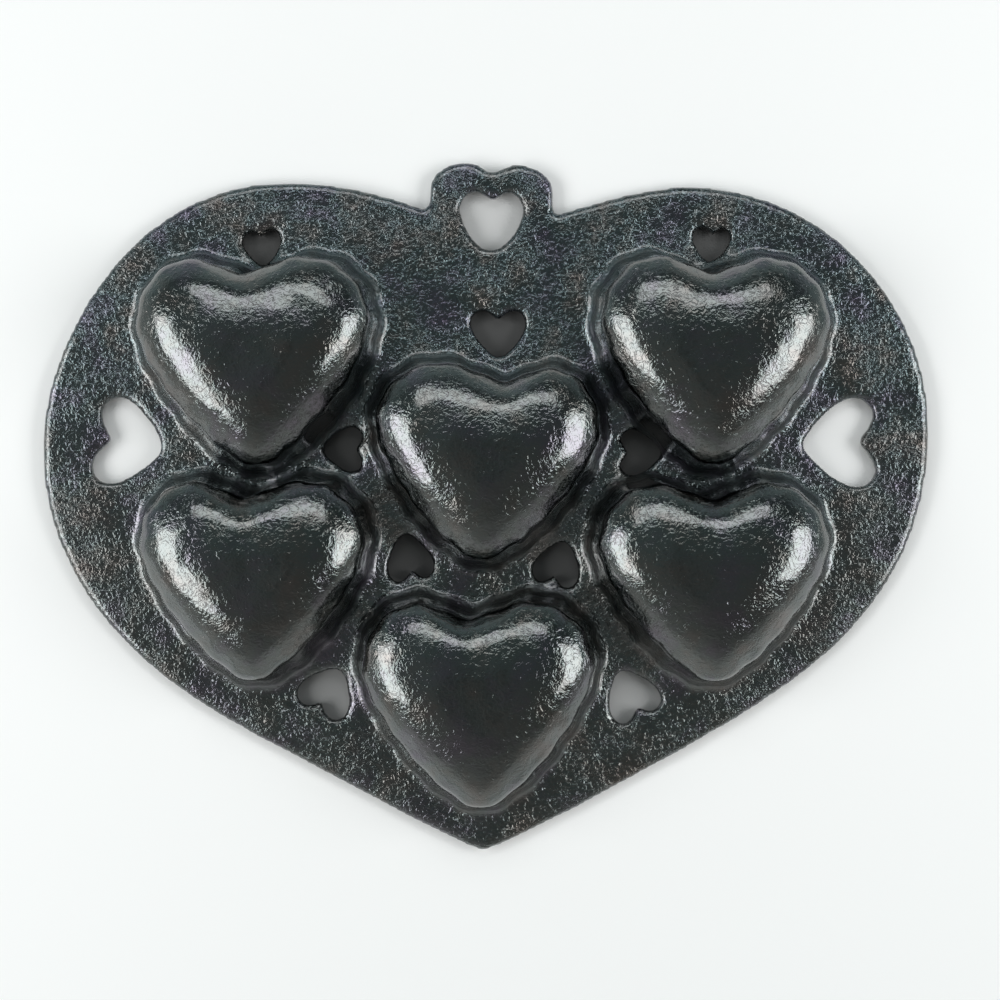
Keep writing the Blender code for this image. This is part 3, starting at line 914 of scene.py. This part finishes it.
# %% [markdown]
# Seasoned cast iron is near black: oil baked on again and again leaves a thin glossy film over
# dark iron, here a metal under a clear coat. A mask tells plate from cup by height, because the
# plate is grainier than the cups. Patches of noise make some places coarser and duller than others.

# %% Cast iron, and where it is plate
FILM_ROUGHNESS = 0.07
PLATE_ENDS = 6.2 * MM
CUP_BEGINS = 9.5 * MM

iron = bpy.data.materials.new("seasoned_cast_iron")
iron.use_nodes = True
tree = iron.node_tree
shader = tree.nodes["Principled BSDF"]
shader.inputs["Metallic"].default_value = 1.0
shader.inputs["Coat Weight"].default_value = 1.0
shader.inputs["Coat Roughness"].default_value = FILM_ROUGHNESS

spot = add_node(tree, "ShaderNodeTexCoord", (-2000, 0)).outputs["Object"]
split = add_node(tree, "ShaderNodeSeparateXYZ", (-1800, -500))
tree.links.new(spot, split.inputs["Vector"])
on_plate = fade(tree, split.outputs["Z"], (-1600, -500), PLATE_ENDS, CUP_BEGINS, 1.0, 0.0)
patches = add_node(
    tree, "ShaderNodeTexNoise", (-1600, 600), Scale=70.0, Detail=3.0, Roughness=0.5
)
tree.links.new(spot, patches.inputs["Vector"])
print("Plate to cup in mm:", round(PLATE_ENDS / MM, 1), "to", round(CUP_BEGINS / MM, 1))

# %% [markdown]
# The cups have only the fine folds and a few pits. The plate also has deeper grain, more of it in
# the coarse patches, and glints wherever a grain faces a lamp. All of it is one height, which a
# Bump node turns into the way the skin faces.

# %% Grain, folds and pits
BUMP_HEIGHT = 0.25 * MM
PIT_ON_CUP = 0.45
PIT_MORE_ON_PLATE = 0.6

leather = skin_of(tree, spot, (-1400, 300), grains=600.0, curl=0.5, depth=1.3)
sand = skin_of(tree, spot, (-1400, 100), grains=600.0, curl=0.4, depth=2.8)
lumps = skin_of(tree, spot, (-1400, -100), grains=260.0, curl=0.0, depth=1.1)
coarse = ramp(tree, patches.outputs["Fac"], (-1300, 500), [(0.35, 0.3), (0.62, 1.0)])
sand = maths(tree, "MULTIPLY", (-1150, 150), sand, coarse)
grain = maths(tree, "ADD", (-1000, 50), sand, lumps)
plate_grain = maths(tree, "MULTIPLY", (-850, 50), grain, on_plate)

pits = add_node(tree, "ShaderNodeTexVoronoi", (-1400, -300), Scale=270.0, Randomness=1.0)
tree.links.new(spot, pits.inputs["Vector"])
pitted = ramp(tree, pits.outputs["Distance"], (-1200, -300), [(0.0, 0.0), (0.17, 1.0)])
pit_depth = maths(
    tree, "MULTIPLY_ADD", (-1200, -550), on_plate, PIT_MORE_ON_PLATE, PIT_ON_CUP
)
pitted = maths(tree, "MULTIPLY", (-900, -300), pitted, pit_depth)

skin = maths(tree, "ADD", (-700, 200), leather, plate_grain)
skin = maths(tree, "ADD", (-550, 0), skin, pitted)
bump = add_node(tree, "ShaderNodeBump", (-350, -200), Strength=1.0, Distance=BUMP_HEIGHT)
tree.links.new(skin, bump.inputs["Height"])
tree.links.new(bump.outputs["Normal"], shader.inputs["Normal"])
print("Nodes in the iron so far:", len(tree.nodes))

# %% [markdown]
# The film is glossiest on the domes. Round the feet of the cups, where no cloth reaches, the oil
# is dull, and everywhere the patches make it a little more or less so. The film's stops are
# shares of the way from the plate's back up to the cup's wall.

# %% Gloss
FOOT_BOTTOM = PLATE_THICKNESS
FOOT_TOP = 10 * MM
FOOT_FILM = [(0.0, 0.06), (0.1, 0.3), (0.5, 0.3), (0.9, 0.0)]

dryness = ramp(tree, patches.outputs["Fac"], (-1100, 600), [(0.3, 0.08), (0.7, 0.15)])
up_foot = fade(tree, split.outputs["Z"], (-1600, -750), FOOT_BOTTOM, FOOT_TOP)
thin_film = ramp(tree, up_foot, (-1100, 400), FOOT_FILM)
roughness = maths(tree, "ADD", (-800, 500), dryness, thin_film)
tree.links.new(roughness, shader.inputs["Roughness"])
dullest = [FOOT_BOTTOM + stop * (FOOT_TOP - FOOT_BOTTOM) for stop, _ in FOOT_FILM[1:3]]
print("Dullest from and to, in mm up:", [round(v / MM, 1) for v in dullest])

# %% [markdown]
# Thin layers of baked oil tint the iron purple, teal and brown in turn. The photograph shows it
# on the plate, most near the eye, and hardly on the cups.

# %% Tints
BLOOM_STOPS = (0.3, 0.5, 0.7)
CUP_TINTS = ((0.106, 0.098, 0.118), (0.093, 0.106, 0.103), (0.112, 0.103, 0.096))
PLATE_TINTS = ((0.110, 0.097, 0.134), (0.084, 0.108, 0.113), (0.118, 0.108, 0.101))
TINT_FROM_Y = -20 * MM
TINT_TO_Y = 60 * MM
TINT_AT_TIP = 0.15

bloom = add_node(tree, "ShaderNodeTexNoise", (-1400, 1000), Scale=75.0, Detail=4.0, Roughness=0.6)
tree.links.new(spot, bloom.inputs["Vector"])
cup_tints = ramp(tree, bloom.outputs["Fac"], (-1100, 900), list(zip(BLOOM_STOPS, CUP_TINTS)))
plate_tints = ramp(tree, bloom.outputs["Fac"], (-1100, 1200), list(zip(BLOOM_STOPS, PLATE_TINTS)))
eye_end = fade(tree, split.outputs["Y"], (-1300, 750), TINT_FROM_Y, TINT_TO_Y, TINT_AT_TIP)
bloom_share = maths(tree, "MULTIPLY", (-1000, 750), on_plate, eye_end)
colour = mix_colours(tree, bloom_share, (-700, 900), cup_tints, plate_tints)
tree.links.new(colour, shader.inputs["Base Color"])
print("Nodes in the iron:", len(tree.nodes))

# %% [markdown]
# The piece gets its material, rides on the part's one body and stands for its one CAD node.

# %% Hand the piece to the frame
plate.data.materials.clear()
plate.data.materials.append(iron)
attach(plate, "root")
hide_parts("mould_casting")
print("Triangles:", sum(len(p.vertices) - 2 for p in plate.data.polygons))
